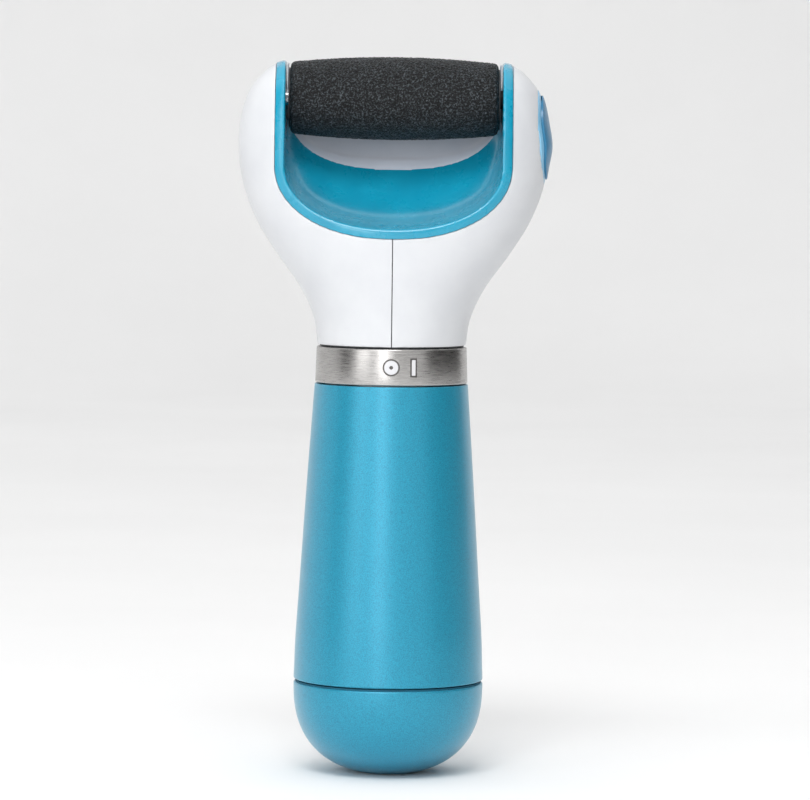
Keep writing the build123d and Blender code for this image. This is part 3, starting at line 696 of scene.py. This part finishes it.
def cut_switch_marks(ring):
    """Recesses round the two switch marks, with floors in a darker metal as painted shade, so that each
    mark stands in a groove.
    """
    groove = 0.4
    radius = MARK_RING[1] + groove
    half_width, half_height = MARK_BAR[0] + groove, MARK_BAR[1] + groove
    angles = np.linspace(0, 2 * math.pi, 49)[:-1]
    circle = [(radius * math.cos(a), radius * math.sin(a)) for a in angles]
    corners = ((1, -1), (1, 1), (-1, 1), (-1, -1))
    bar = [(i * half_width, j * half_height) for i, j in corners]
    cut_away(ring, front_prism("off_recess", circle, 0.0))
    cut_away(ring, front_prism("on_recess", bar, ON_ANGLE))
    ring.data.set_sharp_from_angle(angle=math.radians(SHARP))
    ring.data.materials.append(RECESS_SHADE)
    edge = COLLAR_HEIGHT / 2 - 0.3  # clear of the rounded rims
    front, deepest, shallowest = -16.5, 17.5, 18.31
    # faces on the recess floors take the darker metal, painted shade
    for face in ring.data.polygons:
        x, y, z = np.array(face.center) / MM
        sunk = deepest < math.hypot(x, y) < shallowest
        if y < front and abs(z - COLLAR_MIDDLE) < edge and sunk:
            face.material_index = 1


# ---------------------------------------------------------------- roller
def make_roller():
    """Barrel-shaped sleeve whose grit stands out as real relief."""
    end_radius = 8.9
    bore = 6.6
    shoulder = 1.3
    grain = 0.13  # how far the crystals stand out or in
    coarse, fine, fine_share, gain = 1.9, 4.1, 0.7, 1.3
    end_gap = 0.02
    half = ROLLER_HALF - end_gap
    rows = []
    count = 190
    for t in np.linspace(-1, 1, count):
        x = t * (ROLLER_HALF - shoulder)
        crown = ROLLER_RADIUS - grain - (ROLLER_RADIUS - end_radius) * t * t
        rows.append((crown, x))
    rim = []
    for i in range(1, 9):
        angle = math.pi / 2 * i / 8
        r = end_radius - grain - shoulder * (1 - math.cos(angle))
        rim.append((r, ROLLER_HALF - shoulder + (shoulder - end_gap) * math.sin(angle)))
    left = [(r, -x) for r, x in rim[::-1]]
    outline = np.array([*left, *rows, *rim, (bore, half), (bore, -half)])
    steps = 260
    points, quads = turned(outline, steps, "X")
    radius = np.hypot(points[:, 1], points[:, 2])
    for i, point in enumerate(points):
        if radius[i] < bore + 0.4:
            continue
        place = Vector(point)
        lump = noise.noise(place * coarse) + fine_share * noise.noise(place * fine)
        scale = 1 + grain * max(-1.0, min(1.0, gain * lump)) / radius[i]
        points[i, 1:] *= scale
    points += (0, ROLLER_Y, ROLLER_Z)
    new_piece(
        "roller_sleeve_grit", points, quads[:, ::-1], "roller", ["roller_sleeve"], GRIT, 180
    )


# ---------------------------------------------------------------- CAD nodes that are shown as they are
def finish_cad_nodes():
    slots = {part["node"]: part["material_slot"] for part in frame["record"]["subparts"]}
    for name, node in frame["nodes"].items():
        material = FINISHES[slots[name]]
        if not node.data.materials:
            node.data.materials.append(material)
        for index in range(len(node.data.materials)):
            node.data.materials[index] = material


# ---------------------------------------------------------------- stage, light and camera
def make_stage():
    """Pale floor that curves up into a wall all round, so no horizon shows from any side."""
    flat, rise, height = 1.7, 0.6, 2.2
    outline = [(0.0, 0.0), (flat, 0.0)]
    for step in range(1, 13):
        angle = math.pi / 2 * step / 12
        outline.append((flat + rise * math.sin(angle), rise - rise * math.cos(angle)))
    outline.append((flat + rise, height))
    steps = 96
    points = []
    faces = []
    for i in range(steps):
        angle = 2 * math.pi * i / steps
        points += [(r * math.cos(angle), r * math.sin(angle), z) for r, z in outline]
        for j in range(len(outline) - 1):
            here = i * len(outline) + j
            after = (i + 1) % steps * len(outline) + j
            faces.append((here, after, after + 1, here + 1))
    mesh = bpy.data.meshes.new("floor")
    mesh.from_pydata(points, [], faces)
    mesh.shade_smooth()
    floor = bpy.data.objects.new("floor", mesh)
    bpy.context.scene.collection.objects.link(floor)
    paint = Shader("floor_paint", Roughness=0.9)
    paint.colour_between(paint.noise(3.0), (0.86, 0.86, 0.86, 1), (0.9, 0.9, 0.9, 1))
    mesh.materials.append(paint.material)
    make_flag("flag_right", 55, 128)
    make_flag("flag_left", -82, -62)


def make_flag(name, start, end):
    """Dark curtain near the wall, between two directions in degrees from the front towards +X."""
    reach, top = 1.66, 1.3
    points = []
    for angle in np.radians(np.linspace(start, end, 24)):
        x, y = reach * math.sin(angle), -reach * math.cos(angle)
        points += [(x, y, 0.0), (x, y, top)]
    faces = [(i, i + 2, i + 3, i + 1) for i in range(0, len(points) - 2, 2)]
    mesh = bpy.data.meshes.new(name)
    mesh.from_pydata(points, [], faces)
    flag = bpy.data.objects.new(name, mesh)
    bpy.context.scene.collection.objects.link(flag)
    cloth = Shader(name, Roughness=0.95)
    cloth.colour_between(cloth.noise(40.0), (0.02, 0.02, 0.02, 1), (0.04, 0.04, 0.04, 1))
    mesh.materials.append(cloth.material)


def area_light(name, place, target, width, height, power):
    lamp = bpy.data.lights.new(name, "AREA")
    lamp.shape = "RECTANGLE"
    lamp.size = width
    lamp.size_y = height
    lamp.energy = power
    holder = bpy.data.objects.new(name, lamp)
    holder.location = place
    aim = Vector(target) - Vector(place)
    holder.rotation_euler = aim.to_track_quat("-Z", "Y").to_euler()
    bpy.context.scene.collection.objects.link(holder)


def make_light():
    world = bpy.data.worlds.new("studio")
    world.use_nodes = True
    background = world.node_tree.nodes["Background"]
    background.inputs["Color"].default_value = (1, 1, 1, 1)
    background.inputs["Strength"].default_value = 1.1
    bpy.context.scene.world = world
    middle = (0, 0, 0.1)
    area_light("key", (-0.28, -1.3, 0.3), middle, 0.34, 1.0, 3.6)
    area_light("side", (-0.95, -1.0, 0.5), middle, 0.5, 0.9, 2.6)
    area_light("top", (-0.1, -0.75, 1.1), (0, 0, 0.15), 0.5, 0.4, 6.5)
    bpy.context.scene.view_settings.view_transform = "Standard"


def make_camera():
    """Long lens, level with the bay, tilted down a little and held very slightly off level."""
    lens = bpy.data.cameras.new("camera")
    lens.sensor_width = 36
    lens.lens = 200
    camera = bpy.data.objects.new("camera", lens)
    aside = 0.0034
    camera.location = (aside, -1.10, 0.150)
    target = Vector((aside, 0, 0.0913))
    aim = (target - camera.location).to_track_quat("-Z", "Y")
    lean = Quaternion((0, 0, 1), math.radians(0.65))
    camera.rotation_mode = "QUATERNION"
    camera.rotation_quaternion = aim @ lean
    bpy.context.scene.collection.objects.link(camera)
    bpy.context.scene.camera = camera


make_camera()
make_light()
make_stage()
make_head()
make_handle()
make_cap()
make_collar()
make_roller()
finish_cad_nodes()
